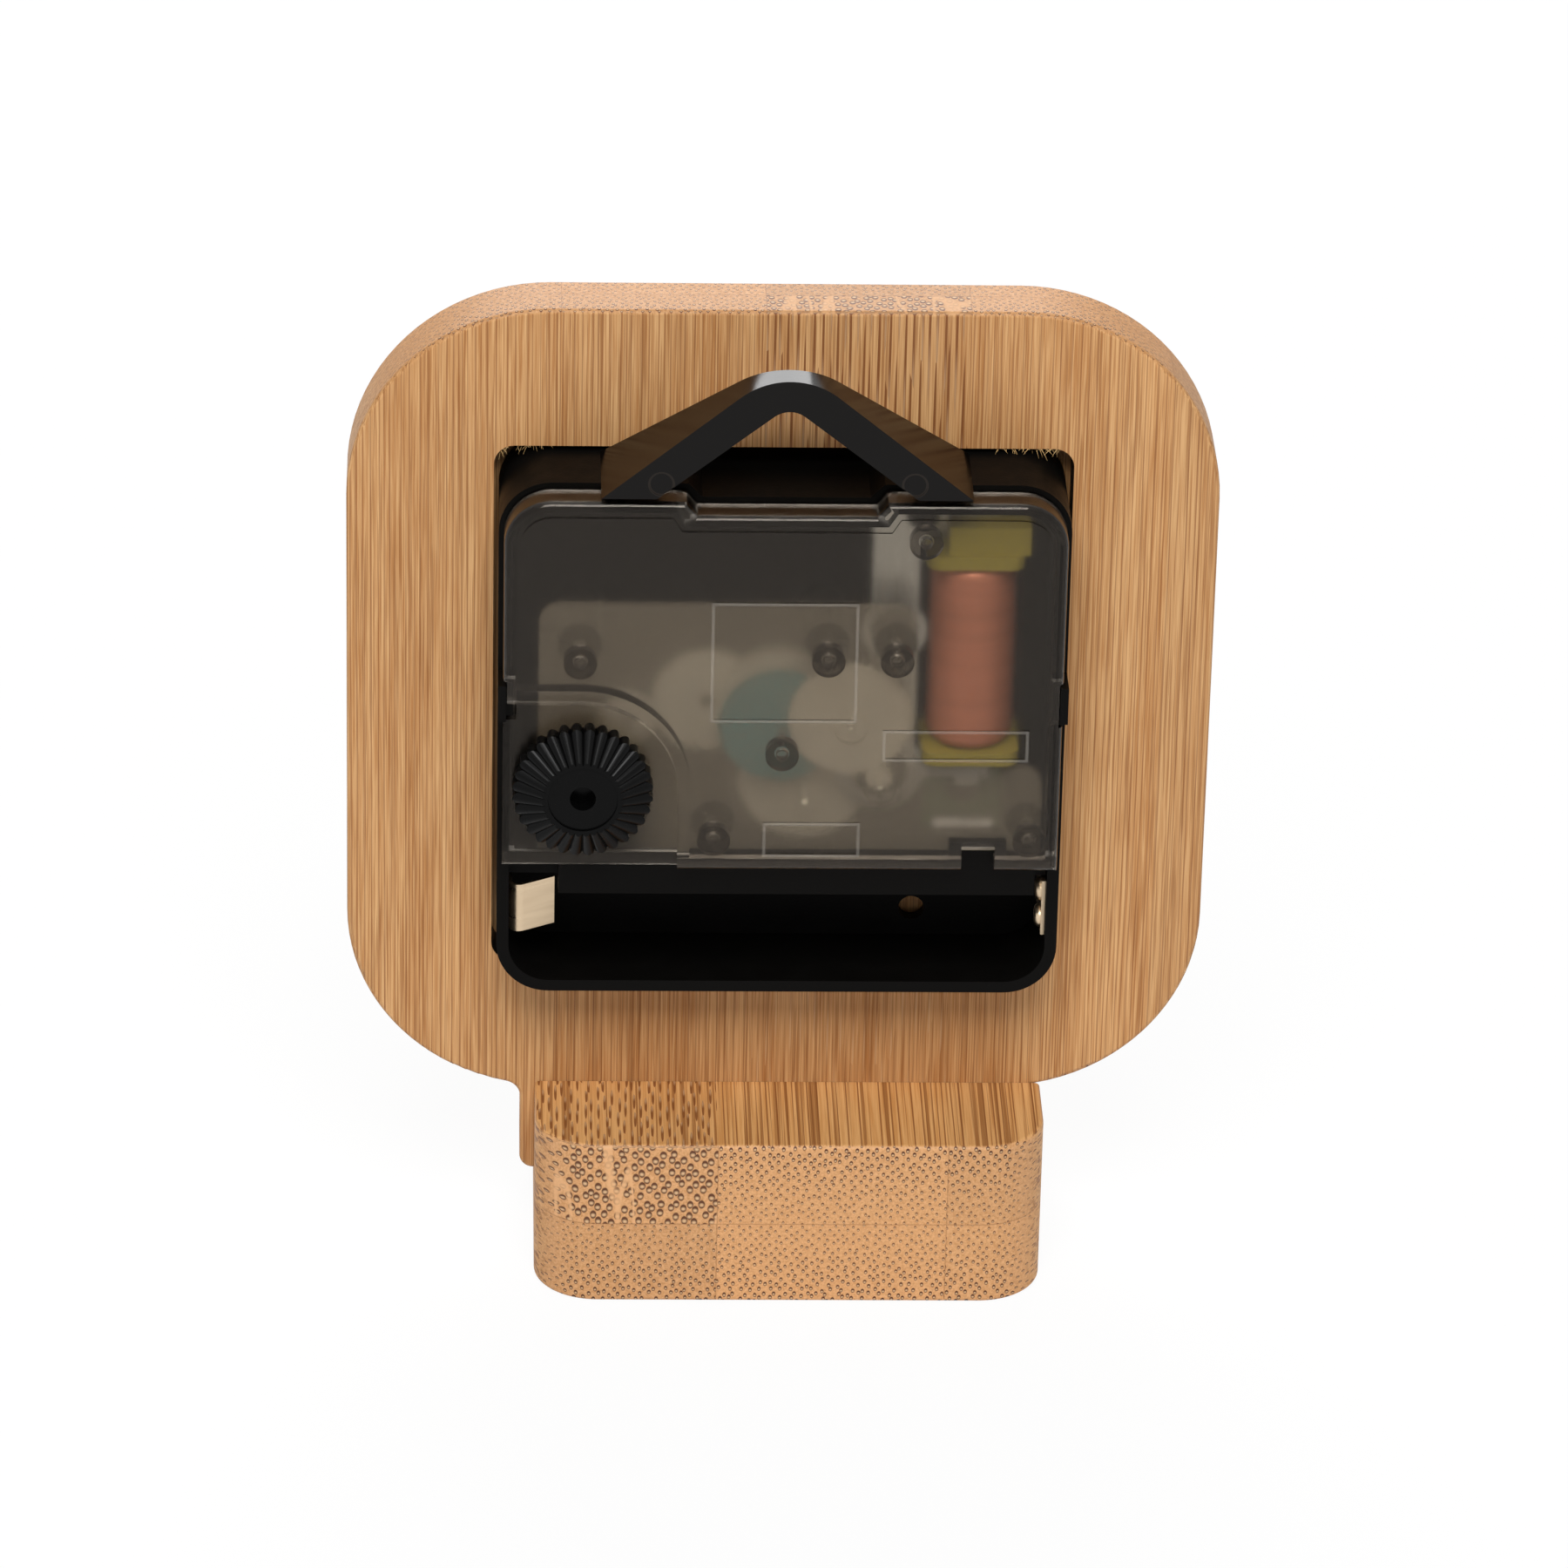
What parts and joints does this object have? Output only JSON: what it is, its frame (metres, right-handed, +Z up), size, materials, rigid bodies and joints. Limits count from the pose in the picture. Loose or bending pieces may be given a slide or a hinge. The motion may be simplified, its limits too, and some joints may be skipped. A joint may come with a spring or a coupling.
{
  "type": "desk clock",
  "caption": "Desk clock: rounded bamboo plate standing in a slotted bamboo base, quartz movement with hanger, setting knob and battery bay let into its back.",
  "frame": {"origin": "middle of the base's underside", "axes": "+Z up, -Y towards the dial side, +X to the right seen from the dial"},
  "size_m": [0.086, 0.0342, 0.1034],
  "materials": {
    "bamboo_board": "satin lacquer",
    "bamboo_block": "satin lacquer",
    "black_abs": "moulded, semi-gloss",
    "smoky_clear": "smoky clear polystyrene",
    "black_knob": "moulded",
    "plated_spring": "nickel plated",
    "copper_wire": "enamelled copper wire",
    "olive_nylon": "moulded nylon",
    "stator_iron": "stamped soft iron",
    "rotor_ferrite": "sintered",
    "milky_acetal": "milky natural acetal",
    "white_acetal": "natural acetal",
    "teal_acetal": "coloured acetal",
    "arbor_steel": "turned",
    "board_laminate": "solder mask",
    "chip_epoxy": "epoxy",
    "crystal_can": "drawn can",
    "seal_rubber": "moulded",
    "nut_brass": "turned brass",
    "hand_lacquer": "black lacquer on aluminium"
  },
  "bodies": {
    "frame": {"base_block": "bamboo_block", "clock_plate": "bamboo_board", "movement_case": "black_abs", "rear_cover": "smoky_clear", "wall_hanger": "black_abs", "rubber_washer": "seal_rubber", "brass_washer": "nut_brass", "hex_nut": "nut_brass", "stator": "stator_iron", "coil_core": "stator_iron", "coil_bobbin": "olive_nylon", "coil_winding": "copper_wire", "gear_bridge": "milky_acetal", "circuit_board": "board_laminate", "chip_blob": "chip_epoxy", "quartz_crystal": "crystal_can", "negative_contact": "plated_spring", "positive_contact": "plated_spring"},
    "seconds": {"second_wheel": "teal_acetal", "second_arbor": "arbor_steel", "second_hand": "hand_lacquer"},
    "rotor": {"rotor_magnet": "rotor_ferrite", "rotor_pinion": "white_acetal"},
    "intermediate": {"intermediate_wheel": "white_acetal"},
    "third": {"third_wheel": "white_acetal"},
    "centre": {"centre_wheel": "white_acetal"},
    "minutes": {"minute_arbor": "white_acetal", "minute_hand": "hand_lacquer"},
    "hours": {"hour_wheel": "white_acetal", "hour_hand": "hand_lacquer"},
    "minute_gear": {"minute_wheel": "white_acetal"},
    "setting_gear": {"setting_wheel": "white_acetal"},
    "knob": {"setting_knob": "black_knob"}
  },
  "joints": [
    {"name": "seconds_turn", "type": "hinge", "parent": "frame", "child": "seconds", "pos_m": [0.0017, 0, 0.0604], "axis": [0, 1, 0], "continuous": true},
    {"name": "rotor_turn", "type": "hinge", "parent": "frame", "child": "rotor", "pos_m": [-0.00819, 0, 0.05533], "axis": [0, 1, 0], "continuous": true},
    {"name": "intermediate_turn", "type": "hinge", "parent": "frame", "child": "intermediate", "pos_m": [-0.00515, 0, 0.06186], "axis": [0, 1, 0], "continuous": true},
    {"name": "third_turn", "type": "hinge", "parent": "frame", "child": "third", "pos_m": [-0.00076, 0, 0.05363], "axis": [0, 1, 0], "continuous": true},
    {"name": "centre_turn", "type": "hinge", "parent": "frame", "child": "centre", "pos_m": [0.0017, 0, 0.0604], "axis": [0, 1, 0], "continuous": true},
    {"name": "minutes_turn", "type": "hinge", "parent": "frame", "child": "minutes", "pos_m": [0.0017, 0, 0.0604], "axis": [0, 1, 0], "continuous": true},
    {"name": "hours_turn", "type": "hinge", "parent": "frame", "child": "hours", "pos_m": [0.0017, 0, 0.0604], "axis": [0, 1, 0], "continuous": true},
    {"name": "minute_gear_turn", "type": "hinge", "parent": "frame", "child": "minute_gear", "pos_m": [0.00887, 0, 0.06103], "axis": [0, 1, 0], "continuous": true},
    {"name": "setting_gear_turn", "type": "hinge", "parent": "frame", "child": "setting_gear", "pos_m": [0.01673, 0, 0.05907], "axis": [0, 1, 0], "continuous": true},
    {"name": "knob_turn", "type": "hinge", "parent": "frame", "child": "knob", "pos_m": [0.0213, 0, 0.05681], "axis": [0, 1, 0], "continuous": true}
  ],
  "couplings": [
    {"joint": "intermediate_turn", "follows": "seconds_turn", "ratio": -6},
    {"joint": "rotor_turn", "follows": "seconds_turn", "ratio": 30},
    {"joint": "third_turn", "follows": "seconds_turn", "ratio": -0.125},
    {"joint": "centre_turn", "follows": "seconds_turn", "ratio": 0.016667},
    {"joint": "minute_gear_turn", "follows": "minutes_turn", "ratio": -0.33333},
    {"joint": "hours_turn", "follows": "minutes_turn", "ratio": 0.083333},
    {"joint": "setting_gear_turn", "follows": "minutes_turn", "ratio": 0.66667},
    {"joint": "knob_turn", "follows": "minutes_turn", "ratio": -0.75}
  ]
}
